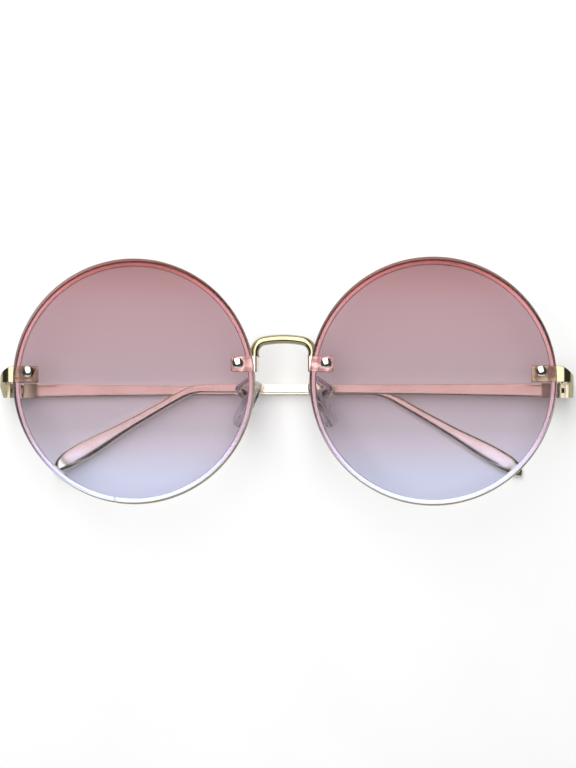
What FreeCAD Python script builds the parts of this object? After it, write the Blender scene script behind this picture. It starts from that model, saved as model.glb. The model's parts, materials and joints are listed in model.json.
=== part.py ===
import FreeCAD, Part
import math
import os

# Oversized round sunglasses with folded temples, lying on the outer temple with the lenses up.
# The front is drawn upright: x to the wearer's left, y back from the lens seat, z up from the
# lens centres. The finished assembly is then laid on its back.
# Left and right are the wearer's. Lengths are in millimetres, angles in degrees.

V = FreeCAD.Vector
ORIGIN = V(0, 0, 0)
ACROSS = V(1, 0, 0)
BACK = V(0, 1, 0)
UP = V(0, 0, 1)
SQUARE = 90.0
HALF_TURN = 180.0

# Overrun of every cutting shape past the face that it cuts
overrun = 1.0
# Closeness within which an edge counts as lying at a place
match_tolerance = 0.003
parallel_angle = 1e-4

# Lens
lens_diameter = 65.0
lens_gap = 14.0
lens_thickness = 1.8
lens_edge_chamfer = 0.3

# Rim wire behind the lens
rim_inset = 0.2
rim_width = 1.5
rim_depth = 2.0
rim_back_round = 0.55
rim_front_round = 0.2
seam_angle = 261.0
seam_width = 0.3
seam_depth = 0.5

# Lens rivets
rivet_head_radius = 1.35
rivet_head_height = 0.95
rivet_shank_radius = 0.6
rivet_tail_radius = 0.95
rivet_tail_height = 0.3
nasal_rivet_inset = 4.65
nasal_rivet_z = 4.8
temporal_rivet_inset = 4.25
temporal_rivet_z = 2.6

# Nasal lug, a strip bent back round the rim
lug_thickness = 0.85
lug_tab_reach = 6.55
lug_standoff = 0.35
lug_bottom_z = 2.45
lug_height = 4.25
lug_leg_margin = 0.15
lug_corner_round = 0.7
lug_bend_round = 0.75

# Bridge wire
bridge_wire_radius = 1.2
bridge_crown_z = 11.2
bridge_crown_radius = 27.6
bridge_shoulder_radius = 3.2
bridge_leg_inset = 0.7
bridge_braze_gap = 0.05

# End piece, a strip that turns back into a side leg
end_thickness = 0.95
end_tab_reach = 6.9
end_tab_bottom_z = -0.3
end_tab_height = 4.4
end_tab_round = 0.4
end_overhang = 4.15
leg_thickness = 1.3
leg_top_z = 3.6
leg_slope_start_y = 1.2
leg_slope_end_y = 6.5
end_corner_round = 1.8

# Hinge
hinge_axis_y = 10.6
hinge_face_clearance = 0.85
knuckle_radius = 1.05
knuckle_gap = 0.08
hinge_pin_radius = 0.5
hinge_running_clearance = 0.04
hinge_screw_head_radius = 0.85
hinge_screw_head_height = 0.35
hinge_screw_slot_width = 0.22
hinge_leaf_thickness = 0.75
hinge_leaf_length = 3.6
hinge_leaf_clearance = 0.3
tongue_setback = 0.25
middle_knuckle_share = 0.36
stop_gap = 0.15

# Temple
temple_center_z = -2.4
temple_butt_height = 3.85
temple_waist_height = 2.7
temple_bend_height = 2.3
temple_straight_length = 98.0
temple_bend_radius = 14.0
temple_bend_angle = 30.0
ear_length = 43.0
paddle_width = 4.9
temple_edge_round = 0.6
fold_gap = 0.45
# The inner temple is set a little high, so that the folded bands show one above the other
inner_temple_rise_angle = 0.4
# Place of the waist as a share of the straight part
temple_waist_share = 0.42
# Places along the ear part as shares of its length, and widths there as shares of the paddle
ear_place_shares = (0.30, 0.55, 0.75, 0.87, 0.955)
ear_width_shares = (0.50, 0.66, 0.93, 1.0, 0.90)

# Nose pad, box, screw and arm
pad_length = 13.4
pad_top_radius = 2.6
pad_bottom_radius = 3.5
pad_thickness = 2.6
pad_edge_round = 1.05
pad_inset = 2.9
pad_center_y = 7.0
pad_center_z = -6.0
pad_frontal_angle = 27.0
pad_splay_angle = 24.0
pad_mount_rise = 1.9
stud_width = 1.1
stud_height = 1.7
stud_reach = 1.75
pad_screw_radius = 0.4
pad_screw_clearance = 0.05
pad_screw_head_radius = 0.65
pad_screw_head_height = 0.3
box_wall = 0.45
box_floor = 0.5
box_side_clearance = 0.15
box_pad_gap = 0.35
pad_arm_radius = 0.55
pad_arm_root_z = 1.4
pad_arm_run = 2.6
pad_arm_bow = 2.4
pad_arm_bend_radius = 1.1

# Places that follow from the sizes above
lens_radius = lens_diameter / 2
nasal_edge_x = lens_gap / 2
lens_center_x = nasal_edge_x + lens_radius
temporal_edge_x = nasal_edge_x + lens_diameter
nasal_rivet_x = nasal_edge_x + nasal_rivet_inset
temporal_rivet_x = temporal_edge_x - temporal_rivet_inset
rim_radius = lens_radius - rim_inset
rim_inner_radius = rim_radius - rim_width
bridge_y = rim_depth + bridge_wire_radius + bridge_braze_gap
bridge_leg_x = nasal_edge_x + bridge_leg_inset
lug_top_z = lug_bottom_z + lug_height
lug_nose_x = nasal_edge_x - lug_standoff
lug_inner_x = nasal_edge_x + lug_tab_reach
lug_leg_depth = bridge_y + bridge_wire_radius + lug_leg_margin
end_tab_top_z = end_tab_bottom_z + end_tab_height
end_tab_inner_x = temporal_edge_x - end_tab_reach
leg_outer_x = temporal_edge_x + end_overhang
leg_inner_x = leg_outer_x - leg_thickness
leg_bottom_z = temple_center_z - temple_butt_height / 2
hinge_axis_x = leg_inner_x - knuckle_radius - hinge_face_clearance
hinge_bottom_z = leg_bottom_z
hinge_top_z = hinge_bottom_z + temple_butt_height
# The folded bands cross with a gap between them, so each is tilted from square by the same angle
fold_tilt = math.degrees(math.atan2(leg_thickness + fold_gap, 2 * hinge_axis_x))
left_fold_angle = SQUARE + fold_tilt
right_fold_angle = SQUARE - fold_tilt
pad_center_x = nasal_edge_x + pad_inset
pad_back_x = pad_thickness / 2
pad_screw_x = pad_back_x + box_pad_gap + pad_screw_clearance + pad_screw_radius + box_wall / 2
box_back_x = pad_back_x + stud_reach + box_side_clearance + box_floor
box_half_width = stud_width / 2 + box_side_clearance + box_wall
box_half_height = stud_height / 2 + box_side_clearance + box_wall


def block(x0, x1, y0, y1, z0, z1):
    """A box between two corners."""
    return Part.makeBox(x1 - x0, y1 - y0, z1 - z0, V(x0, y0, z0))


def rod(radius, start, end):
    """A round bar from one point to another."""
    axis = end.sub(start)
    return Part.makeCylinder(radius, axis.Length, start, axis)


def mirrored(shape):
    """The same piece on the wearer's right."""
    return shape.mirror(ORIGIN, ACROSS)


def edges_along(shape, direction):
    """The straight edges of a shape that run along a direction."""
    found = []
    for edge in shape.Edges:
        if isinstance(edge.Curve, Part.Line) and edge.Curve.Direction.isParallel(direction, parallel_angle):
            found.append(edge)
    return found


def edges_at(shape, axis_name, place):
    """The edges of a shape whose middle lies at a place along one axis."""
    found = []
    for edge in shape.Edges:
        if abs(getattr(edge.CenterOfMass, axis_name) - place) < match_tolerance:
            found.append(edge)
    return found


def bent_wire(points, bend_radius, wire_radius):
    """A round wire along straight runs that are joined by tangent arcs."""
    edges = []
    start = points[0]
    for before, corner, after in zip(points, points[1:], points[2:]):
        arriving = corner.sub(before).normalize()
        leaving = after.sub(corner).normalize()
        turn = arriving.getAngle(leaving)
        setback = bend_radius * math.tan(turn / 2)
        arc_start = corner - arriving * setback
        arc_end = corner + leaving * setback
        inward = (leaving - arriving).normalize()
        arc_middle = corner + inward * (bend_radius / math.cos(turn / 2) - bend_radius)
        edges.append(Part.LineSegment(start, arc_start).toShape())
        edges.append(Part.Arc(arc_start, arc_middle, arc_end).toShape())
        start = arc_end
    edges.append(Part.LineSegment(start, points[-1]).toShape())
    profile = Part.Wire(Part.Circle(points[0], points[1].sub(points[0]), wire_radius).toShape())
    return Part.Wire(edges).makePipeShell([profile], True, True)


def rivet(x, z, back_y):
    """A dome-head rivet through the lens and the tab behind it."""
    dome_radius = (rivet_head_radius ** 2 + rivet_head_height ** 2) / (2 * rivet_head_height)
    face_y = -lens_thickness
    dome = Part.makeSphere(dome_radius, V(x, face_y - rivet_head_height + dome_radius, z))
    reach = 2 * dome_radius
    dome = dome.common(block(x - reach, x + reach, face_y - reach, face_y, z - reach, z + reach))
    shank = rod(rivet_shank_radius, V(x, face_y, z), V(x, back_y, z))
    tail = rod(rivet_tail_radius, V(x, back_y, z), V(x, back_y + rivet_tail_height, z))
    return dome.fuse([shank, tail]).removeSplitter()


def rivet_hole(x, z):
    """The hole of a lens rivet, through the lens and the tab."""
    depth = lug_thickness + end_thickness + overrun
    return rod(rivet_shank_radius, V(x, -lens_thickness - overrun, z), V(x, depth, z))


def lens():
    """A flat round lens with its front edge eased and two rivet holes."""
    front = V(lens_center_x, -lens_thickness, 0)
    disc = rod(lens_radius, front, V(lens_center_x, 0, 0))
    disc = disc.makeChamfer(lens_edge_chamfer, edges_at(disc, "y", -lens_thickness))
    holes = [rivet_hole(nasal_rivet_x, nasal_rivet_z), rivet_hole(temporal_rivet_x, temporal_rivet_z)]
    return disc.cut(holes)


def nasal_tab():
    """The front tab of the nasal lug, rounded at its inner corners."""
    tab = block(lug_nose_x, lug_inner_x, 0, lug_thickness, lug_bottom_z, lug_top_z)
    corners = []
    for edge in edges_along(tab, BACK):
        if edge.CenterOfMass.x > nasal_rivet_x:
            corners.append(edge)
    return tab.makeFillet(lug_corner_round, corners)


def end_tab():
    """The front tab of the end piece, from its inner end to the outer corner."""
    tab = block(end_tab_inner_x, leg_outer_x, 0, end_thickness, end_tab_bottom_z, end_tab_top_z)
    corners = []
    for edge in edges_along(tab, BACK):
        if edge.CenterOfMass.x < temporal_rivet_x:
            corners.append(edge)
    return tab.makeFillet(end_tab_round, corners)


def rim(with_seam):
    """A round wire rim, notched in front for the two tabs."""
    front = V(lens_center_x, 0, 0)
    back = V(lens_center_x, rim_depth, 0)
    ring = rod(rim_radius, front, back).cut(rod(rim_inner_radius, front, back))
    ring = ring.makeFillet(rim_back_round, edges_at(ring, "y", rim_depth))
    ring = ring.makeFillet(rim_front_round, edges_at(ring, "y", 0))
    ring = ring.cut([nasal_tab(), end_tab()])
    if with_seam:
        seam = block(
            rim_inner_radius - overrun, rim_radius + overrun,
            -overrun, seam_depth,
            -seam_width / 2, seam_width / 2,
        )
        seam.rotate(ORIGIN, BACK, seam_angle - HALF_TURN)
        seam.translate(front)
        ring = ring.cut(seam)
    return ring


def nasal_lug():
    """The nasal lug: its tab, and the leg that turns back and fits the rim's outside."""
    leg = block(lug_nose_x, lug_nose_x + lug_thickness, 0, lug_leg_depth, lug_bottom_z, lug_top_z)
    strip = nasal_tab().fuse(leg).removeSplitter()
    bend = []
    for edge in edges_along(strip, UP):
        at = edge.CenterOfMass
        if abs(at.y) < match_tolerance and abs(at.x - lug_nose_x) < match_tolerance:
            bend.append(edge)
    strip = strip.makeFillet(lug_bend_round, bend)
    rim_outside = rod(rim_radius, V(lens_center_x, lug_thickness, 0), V(lens_center_x, rim_depth, 0))
    return strip.cut([rim_outside, rivet_hole(nasal_rivet_x, nasal_rivet_z)])


def bridge():
    """The arched bridge wire: a crown arc, two shoulder arcs and two short legs."""
    crown_center_z = bridge_crown_z - bridge_crown_radius
    shoulder_x = bridge_leg_x - bridge_shoulder_radius
    reach = bridge_crown_radius - bridge_shoulder_radius
    rise = math.sqrt(reach ** 2 - shoulder_x ** 2)
    shoulder_z = crown_center_z + rise
    join_x = shoulder_x / reach * bridge_crown_radius
    join_z = crown_center_z + rise / reach * bridge_crown_radius
    middle_angle = math.atan2(rise, shoulder_x) / 2
    middle_x = shoulder_x + bridge_shoulder_radius * math.cos(middle_angle)
    middle_z = shoulder_z + bridge_shoulder_radius * math.sin(middle_angle)
    half = [
        V(-bridge_leg_x, bridge_y, lug_top_z),
        V(-bridge_leg_x, bridge_y, shoulder_z),
        V(-middle_x, bridge_y, middle_z),
        V(-join_x, bridge_y, join_z),
    ]
    foot, knee, shoulder, join = half
    far_foot, far_knee, far_shoulder, far_join = [V(-at.x, at.y, at.z) for at in half]
    path = Part.Wire([
        Part.LineSegment(foot, knee).toShape(),
        Part.Arc(knee, shoulder, join).toShape(),
        Part.Arc(join, V(0, bridge_y, bridge_crown_z), far_join).toShape(),
        Part.Arc(far_join, far_shoulder, far_knee).toShape(),
        Part.LineSegment(far_knee, far_foot).toShape(),
    ])
    profile = Part.Wire(Part.Circle(foot, UP, bridge_wire_radius).toShape())
    return path.makePipeShell([profile], True, True)


def end_piece():
    """The end piece: its tab, the rounded corner, and the side leg with a sloped lower front."""
    leg_end_y = hinge_axis_y - stop_gap / 2
    outline = Part.makePolygon([
        V(leg_inner_x, 0, end_tab_bottom_z),
        V(leg_inner_x, 0, leg_top_z),
        V(leg_inner_x, leg_end_y, leg_top_z),
        V(leg_inner_x, leg_end_y, leg_bottom_z),
        V(leg_inner_x, leg_slope_end_y, leg_bottom_z),
        V(leg_inner_x, leg_slope_start_y, end_tab_bottom_z),
        V(leg_inner_x, 0, end_tab_bottom_z),
    ])
    leg = Part.Face(outline).extrude(V(leg_thickness, 0, 0))
    strip = end_tab().fuse(leg).removeSplitter()
    corner = rod(
        end_corner_round,
        V(leg_outer_x - end_corner_round, end_corner_round, leg_bottom_z - overrun),
        V(leg_outer_x - end_corner_round, end_corner_round, end_tab_top_z + overrun),
    )
    waste = block(
        leg_outer_x - end_corner_round, leg_outer_x + overrun,
        -overrun, end_corner_round,
        leg_bottom_z - overrun, end_tab_top_z + overrun,
    ).cut(corner)
    return strip.cut([waste, rivet_hole(temporal_rivet_x, temporal_rivet_z)])


def hinge_levels():
    """Bottom and top of the lower, middle and upper knuckles."""
    height = hinge_top_z - hinge_bottom_z
    middle = height * middle_knuckle_share
    outer = (height - middle) / 2
    return (
        (hinge_bottom_z, hinge_bottom_z + outer),
        (hinge_bottom_z + outer + knuckle_gap, hinge_top_z - outer - knuckle_gap),
        (hinge_top_z - outer, hinge_top_z),
    )


def hinge_leaf(direction, levels, bore_radius):
    """A hinge leaf: a plate on the strip's inner face, with tongues out to its knuckles.

    The plate runs forwards on the end piece and backwards on the open temple.
    """
    start = knuckle_radius + hinge_leaf_clearance
    near_y = hinge_axis_y + direction * start
    far_y = hinge_axis_y + direction * (start + hinge_leaf_length)
    plate = block(
        leg_inner_x - hinge_leaf_thickness, leg_inner_x,
        min(near_y, far_y), max(near_y, far_y),
        hinge_bottom_z, hinge_top_z,
    )
    pieces = []
    bores = []
    for low, high in levels:
        bottom = V(hinge_axis_x, hinge_axis_y, low)
        top = V(hinge_axis_x, hinge_axis_y, high)
        pieces.append(rod(knuckle_radius, bottom, top))
        pieces.append(block(
            hinge_axis_x, leg_inner_x,
            min(hinge_axis_y + direction * tongue_setback, near_y),
            max(hinge_axis_y + direction * tongue_setback, near_y),
            low, high,
        ))
        bores.append(rod(bore_radius, bottom - UP * overrun, top + UP * overrun))
    return plate.fuse(pieces).removeSplitter().cut(bores)


def hinge_screw():
    """The hinge screw, a pin from below with a slotted head on the upper knuckle."""
    bottom = V(hinge_axis_x, hinge_axis_y, hinge_bottom_z)
    seat = V(hinge_axis_x, hinge_axis_y, hinge_top_z)
    top = V(hinge_axis_x, hinge_axis_y, hinge_top_z + hinge_screw_head_height)
    pin = rod(hinge_pin_radius, bottom, seat).fuse(rod(hinge_screw_head_radius, seat, top))
    pin = pin.removeSplitter()
    slot = block(
        hinge_axis_x - knuckle_radius, hinge_axis_x + knuckle_radius,
        hinge_axis_y - hinge_screw_slot_width / 2, hinge_axis_y + hinge_screw_slot_width / 2,
        hinge_top_z + hinge_screw_head_height / 2, hinge_top_z + hinge_screw_head_height + overrun,
    )
    return pin.cut(slot)


def temple():
    """The open temple: a band drawn in to its waist, a bend, and an ear part that ends in a paddle."""
    x = leg_inner_x
    butt_y = hinge_axis_y + stop_gap / 2
    bend = math.radians(temple_bend_angle)
    setback = temple_bend_radius * math.tan(bend / 2)
    bend_y = hinge_axis_y + temple_straight_length - setback
    drop = V(0, math.cos(bend), -math.sin(bend))
    outward = V(0, math.sin(bend), math.cos(bend))
    corner = V(x, hinge_axis_y + temple_straight_length, temple_center_z)
    bend_start = V(x, bend_y, temple_center_z)
    middle_out = V(0, math.sin(bend / 2), math.cos(bend / 2))
    bend_center = bend_start - UP * temple_bend_radius
    bend_middle = bend_center + middle_out * temple_bend_radius
    half_bend = temple_bend_height / 2
    upper = [bend_start + UP * half_bend, bend_middle + middle_out * half_bend]
    lower = [bend_start - UP * half_bend, bend_middle - middle_out * half_bend]
    for place, width in zip(ear_place_shares, ear_width_shares):
        at = corner + drop * (ear_length * place)
        upper.append(at + outward * (paddle_width * width / 2))
        lower.append(at - outward * (paddle_width * width / 2))
    tip = corner + drop * ear_length
    tip_half = paddle_width * ear_width_shares[-1] / 2
    tip_reach = ear_length * (1 - ear_place_shares[-1])
    tip_radius = (tip_half ** 2 + tip_reach ** 2) / (2 * tip_reach)
    inward = math.asin((tip_radius - tip_reach) / tip_radius)
    closing = outward * math.tan(inward)
    upper_edge = Part.BSplineCurve()
    upper_edge.interpolate(Points=upper, InitialTangent=BACK, FinalTangent=drop - closing)
    lower_edge = Part.BSplineCurve()
    lower_edge.interpolate(Points=lower, InitialTangent=BACK, FinalTangent=drop + closing)
    butt_half = UP * (temple_butt_height / 2)
    waist_half = UP * (temple_waist_height / 2)
    butt = V(x, butt_y, temple_center_z)
    waist = V(x, hinge_axis_y + temple_straight_length * temple_waist_share, temple_center_z)
    outline = Part.Wire([
        Part.LineSegment(butt - butt_half, butt + butt_half).toShape(),
        Part.Arc(butt + butt_half, waist + waist_half, upper[0]).toShape(),
        upper_edge.toShape(),
        Part.Arc(upper[-1], tip, lower[-1]).toShape(),
        lower_edge.toShape(),
        Part.Arc(lower[0], waist - waist_half, butt - butt_half).toShape(),
    ])
    band = Part.Face(outline).extrude(V(leg_thickness, 0, 0))
    long_edges = []
    for edge in band.Edges:
        flat = edge.BoundBox.XLength < leg_thickness / 2
        if flat and edge.CenterOfMass.y > butt_y + stop_gap:
            long_edges.append(edge)
    return band.makeFillet(temple_edge_round, long_edges)


def pad_placed(shape):
    """Turn and move a shape from the pad's own frame to its place beside the nose.

    In the pad's own frame the pad lies in the yz plane, and its stud points along +x.
    """
    placed = shape.copy()
    placed.rotate(ORIGIN, BACK, -pad_frontal_angle)
    placed.rotate(ORIGIN, UP, -pad_splay_angle)
    placed.translate(V(pad_center_x, pad_center_y, pad_center_z))
    return placed


def pad_point(x, y, z):
    """Where a point of the pad's own frame comes to lie."""
    return pad_placed(Part.Vertex(V(x, y, z))).Point


def nose_pad():
    """A drop-shaped pad with rounded edges, and a stud with a cross hole."""
    top_z = pad_length / 2 - pad_top_radius
    bottom_z = pad_bottom_radius - pad_length / 2
    lean = math.asin((pad_bottom_radius - pad_top_radius) / (top_z - bottom_z))
    top_y = pad_top_radius * math.cos(lean)
    top_edge_z = top_z + pad_top_radius * math.sin(lean)
    bottom_y = pad_bottom_radius * math.cos(lean)
    bottom_edge_z = bottom_z + pad_bottom_radius * math.sin(lean)
    face_x = -pad_back_x
    top_front = V(face_x, -top_y, top_edge_z)
    top_rear = V(face_x, top_y, top_edge_z)
    bottom_front = V(face_x, -bottom_y, bottom_edge_z)
    bottom_rear = V(face_x, bottom_y, bottom_edge_z)
    outline = Part.Wire([
        Part.Arc(top_front, V(face_x, 0, pad_length / 2), top_rear).toShape(),
        Part.LineSegment(top_rear, bottom_rear).toShape(),
        Part.Arc(bottom_rear, V(face_x, 0, -pad_length / 2), bottom_front).toShape(),
        Part.LineSegment(bottom_front, top_front).toShape(),
    ])
    pad = Part.Face(outline).extrude(V(pad_thickness, 0, 0))
    pad = pad.makeFillet(pad_edge_round, edges_at(pad, "x", face_x) + edges_at(pad, "x", pad_back_x))
    stud = block(
        0, pad_back_x + stud_reach,
        -stud_width / 2, stud_width / 2,
        pad_mount_rise - stud_height / 2, pad_mount_rise + stud_height / 2,
    )
    hole = rod(
        pad_screw_radius + pad_screw_clearance,
        V(pad_screw_x, -stud_width, pad_mount_rise),
        V(pad_screw_x, stud_width, pad_mount_rise),
    )
    return pad_placed(pad.fuse(stud).removeSplitter().cut(hole))


def pad_box():
    """The box that takes the pad's stud, open towards the pad, with the screw's cross holes."""
    inner_half_height = box_half_height - box_wall
    inner_half_width = box_half_width - box_wall
    shell = block(
        pad_back_x + box_pad_gap, box_back_x,
        -box_half_width, box_half_width,
        pad_mount_rise - box_half_height, pad_mount_rise + box_half_height,
    )
    hollow = block(
        pad_back_x, box_back_x - box_floor,
        -inner_half_width, inner_half_width,
        pad_mount_rise - inner_half_height, pad_mount_rise + inner_half_height,
    )
    hole = rod(
        pad_screw_radius,
        V(pad_screw_x, -box_half_width - overrun, pad_mount_rise),
        V(pad_screw_x, box_half_width + overrun, pad_mount_rise),
    )
    return pad_placed(shell.cut([hollow, hole]))


def pad_screw():
    """The small screw through the box and the stud."""
    head = V(pad_screw_x, box_half_width + pad_screw_head_height, pad_mount_rise)
    seat = V(pad_screw_x, box_half_width, pad_mount_rise)
    end = V(pad_screw_x, -box_half_width, pad_mount_rise)
    screw = rod(pad_screw_radius, end, seat).fuse(rod(pad_screw_head_radius, seat, head))
    return pad_placed(screw.removeSplitter())


def pad_arm():
    """The pad arm: a wire from the rim's back, bowed out and down to the back of the box."""
    wire_circle = rim_radius - rim_width / 2
    root_x = lens_center_x - math.sqrt(wire_circle ** 2 - pad_arm_root_z ** 2)
    box_back = pad_point(box_back_x, 0, pad_mount_rise)
    away = pad_point(box_back_x + pad_arm_bow, 0, pad_mount_rise)
    return bent_wire(
        [
            V(root_x, rim_depth, pad_arm_root_z),
            V(root_x, rim_depth + pad_arm_run, pad_arm_root_z),
            away,
            box_back,
        ],
        pad_arm_bend_radius,
        pad_arm_radius,
    )


def folded(shape, fold_angle):
    """Swing a piece of the open left temple in behind the lenses."""
    turned = shape.copy()
    turned.rotate(V(hinge_axis_x, hinge_axis_y, 0), UP, fold_angle)
    return turned


def assembly():
    """Every piece in the upright front frame, by name."""
    levels = hinge_levels()
    front_leaf = hinge_leaf(-1, (levels[0], levels[2]), hinge_pin_radius)
    temple_leaf = hinge_leaf(1, (levels[1],), hinge_pin_radius + hinge_running_clearance)
    outer_band = temple()
    inner_band = outer_band.copy()
    inner_band.rotate(V(0, hinge_axis_y, temple_center_z), ACROSS, inner_temple_rise_angle)
    pieces = {"bridge": bridge()}
    paired = {
        "lens": lens(),
        "nasal_lug": nasal_lug(),
        "end_piece": end_piece(),
        "nasal_rivet": rivet(nasal_rivet_x, nasal_rivet_z, lug_thickness),
        "temporal_rivet": rivet(temporal_rivet_x, temporal_rivet_z, end_thickness),
        "pad_arm": pad_arm(),
        "pad_box": pad_box(),
        "pad_screw": pad_screw(),
        "nose_pad": nose_pad(),
        "hinge_front_leaf": front_leaf,
        "hinge_screw": hinge_screw(),
    }
    for name, shape in paired.items():
        pieces["left_" + name] = shape
        pieces["right_" + name] = mirrored(shape)
    pieces["left_rim"] = rim(False)
    pieces["right_rim"] = mirrored(rim(True))
    pieces["left_temple"] = folded(inner_band, left_fold_angle)
    pieces["right_temple"] = mirrored(folded(outer_band, right_fold_angle))
    pieces["left_hinge_temple_leaf"] = folded(temple_leaf, left_fold_angle)
    pieces["right_hinge_temple_leaf"] = mirrored(folded(temple_leaf, right_fold_angle))
    return pieces


def lying(pieces):
    """The pieces laid on the outer temple's flat side, over the middle of their footprint."""
    for shape in pieces.values():
        shape.rotate(ORIGIN, UP, -fold_tilt)
        shape.rotate(ORIGIN, ACROSS, -SQUARE)
    whole = Part.Compound(list(pieces.values())).optimalBoundingBox(False)
    offset = V(-whole.Center.x, -whole.Center.y, -whole.ZMin)
    for shape in pieces.values():
        shape.translate(offset)
    return pieces


os.makedirs("parts", exist_ok=True)
for node, solid in lying(assembly()).items():
    solid.exportStep("parts/" + node + ".step")
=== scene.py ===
"""Oversized round sunglasses with folded temples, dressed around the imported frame.

Shapes are worked out in the upright front frame, in millimetres: x to the wearer's left, y back from
the lens seat and z up from the lens centres. Stance carries them to the row frame, in metres. Each
paired piece is worked out on the wearer's left, and mirrored for the right.
"""

import json
import logging
import math
from dataclasses import dataclass, field
from enum import Enum

import bmesh
import bpy
import numpy as np
from mathutils import Matrix, Vector


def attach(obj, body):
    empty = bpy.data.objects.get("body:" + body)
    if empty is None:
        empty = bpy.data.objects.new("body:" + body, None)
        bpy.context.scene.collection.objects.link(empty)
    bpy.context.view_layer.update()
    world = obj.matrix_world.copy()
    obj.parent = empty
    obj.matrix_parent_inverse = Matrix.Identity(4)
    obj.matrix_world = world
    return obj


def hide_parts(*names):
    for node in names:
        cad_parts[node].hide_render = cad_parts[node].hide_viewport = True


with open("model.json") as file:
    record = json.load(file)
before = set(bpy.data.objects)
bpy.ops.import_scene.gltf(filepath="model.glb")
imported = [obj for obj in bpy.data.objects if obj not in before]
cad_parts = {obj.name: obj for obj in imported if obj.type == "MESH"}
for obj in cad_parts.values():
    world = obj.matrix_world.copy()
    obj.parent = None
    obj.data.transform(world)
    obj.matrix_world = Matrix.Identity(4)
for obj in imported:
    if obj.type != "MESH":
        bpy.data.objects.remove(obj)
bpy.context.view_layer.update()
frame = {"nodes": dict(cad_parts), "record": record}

log = logging.getLogger("sunglasses")
Array = np.ndarray
Socket = bpy.types.NodeSocket
Tree = bpy.types.NodeTree
Pair = tuple[float, float]
Triple = tuple[float, float, float]

MM = 0.001
PER_METRE_MM = 1000.0
MERGE_M = 2e-6
SHARP_ANGLE = math.radians(38)
WHITE = (1.0, 1.0, 1.0, 1.0)
IMAGE_HEIGHT_PX = 768
LEFTWARD, BACK, UP = np.eye(3)
# The attribute that marks a round piece's outer wall, and how far past the wall's start marking begins.
OUTER_WALL = "outer_wall"
WALL_MM = 0.05
# Where most of a noise's values lie, and the stretches that colour patches and smudges are spread over.
NOISE_SPAN = (0.3, 0.7)
PATCH_SPAN = (0.35, 0.65)
SMUDGE_SPAN = (0.45, 0.75)


class Side(Enum):
    """A wearer's side; the value is the sign of x."""

    LEFT = 1
    RIGHT = -1

    @property
    def word(self) -> str:
        """The side's name as the nodes write it."""
        return self.name.lower()


class Slot(Enum):
    """The record's material slots."""

    LENS = "tinted_lens"
    GOLD = "gold_metal"
    STEEL = "polished_steel"
    PAD = "clear_pad"


@dataclass(frozen=True)
class Stance:
    """How the upright front is laid on the floor: turned, then moved.

    Attributes:
        axes: The front frame's x, y and z axes in the row frame, as the columns of a matrix.
        offset: The move after the turn, in millimetres.
    """

    axes: Array
    offset: Array

    @classmethod
    def from_hinges(cls, left: dict, right: dict, pivot: Array) -> "Stance":
        """Read the stance from the two temple hinges.

        The x axis runs from the right pivot to the left one, z is against the left hinge's axis, and y
        is z crossed with x.

        Args:
            left: The left hinge's entry in the record.
            right: The right hinge's entry in the record.
            pivot: The left hinge's place in the front frame.

        Returns:
            The stance that takes the pivot to where the record has it.
        """
        across = np.subtract(left["pos_m"], right["pos_m"])
        across /= np.linalg.norm(across)
        up = -np.array(left["axis"])
        axes = np.stack([across, np.cross(up, across), up], axis=1)
        return cls(axes, np.array(left["pos_m"]) / MM - axes @ pivot)

    def turned(self, vectors: Array) -> Array:
        """Turn vectors of the front frame to the row frame."""
        return np.asarray(vectors, float) @ self.axes.T

    def to_row(self, points: Array) -> Array:
        """Carry points of the front frame to the row frame, in metres."""
        return (self.turned(points) + self.offset) * MM


@dataclass
class Shell:
    """The points and faces of one piece, gathered patch by patch."""

    points: list[Array] = field(default_factory=list)
    faces: list[list[int]] = field(default_factory=list)

    @classmethod
    def of(cls, rings: Array, closed: bool = False, capped: bool = False) -> "Shell":
        """A shell of one grid, with the grid's own arguments."""
        shell = cls()
        shell.grid(rings, closed, capped)
        return shell

    def grid(self, rings: Array, closed: bool = False, capped: bool = False) -> None:
        """Add quads between neighbouring rings of points, each ring closed on itself.

        Args:
            rings: Points of shape (rings, points in a ring, 3).
            closed: Whether the last ring joins the first.
            capped: Whether a flat face closes the first and the last ring.
        """
        rows, columns = rings.shape[:2]
        first = sum(len(part) for part in self.points)
        steps = np.arange(rows if closed else rows - 1), np.arange(columns)
        row, column = np.meshgrid(*steps, indexing="ij")
        here, below, beside = row * columns, (row + 1) % rows * columns, (column + 1) % columns
        corners = np.stack([here + column, here + beside, below + beside, below + column], axis=-1)
        self.points.append(np.asarray(rings, float).reshape(-1, 3))
        self.faces.extend((corners.reshape(-1, 4) + first).tolist())
        if capped:
            for start in (first, first + (rows - 1) * columns):
                self.faces.append(list(range(start, start + columns)))


def circle(count: int) -> Array:
    """Cosines and sines of equal steps round a full turn, as (count, 2)."""
    angles = np.linspace(0, 2 * math.pi, count, endpoint=False)
    return np.stack([np.cos(angles), np.sin(angles)], axis=-1)


def rounded_rectangle(half_width: Array, half_height: Array, radius: Array, steps: int = 4) -> Array:
    """Outline a rectangle with quarter-circle corners.

    Each corner's centre lies one radius in from both sides; the outline is the four quarter circles.

    Args:
        half_width: Half the width, a number or one for each ring.
        half_height: Half the height, likewise.
        radius: The corner radius, likewise.
        steps: Steps in each quarter circle.

    Returns:
        Points of shape (..., 4 * (steps + 1), 2).
    """
    width, height, corner = np.broadcast_arrays(half_width, half_height, radius)
    quarter = np.linspace(0, math.pi / 2, steps + 1)
    angles = (quarter + np.arange(4)[:, None] * math.pi / 2).ravel()
    sign_x = np.repeat([1, -1, -1, 1], steps + 1)
    sign_y = np.repeat([1, 1, -1, -1], steps + 1)
    x = (width - corner)[..., None] * sign_x + corner[..., None] * np.cos(angles)
    y = (height - corner)[..., None] * sign_y + corner[..., None] * np.sin(angles)
    return np.stack([x, y], axis=-1)


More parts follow.
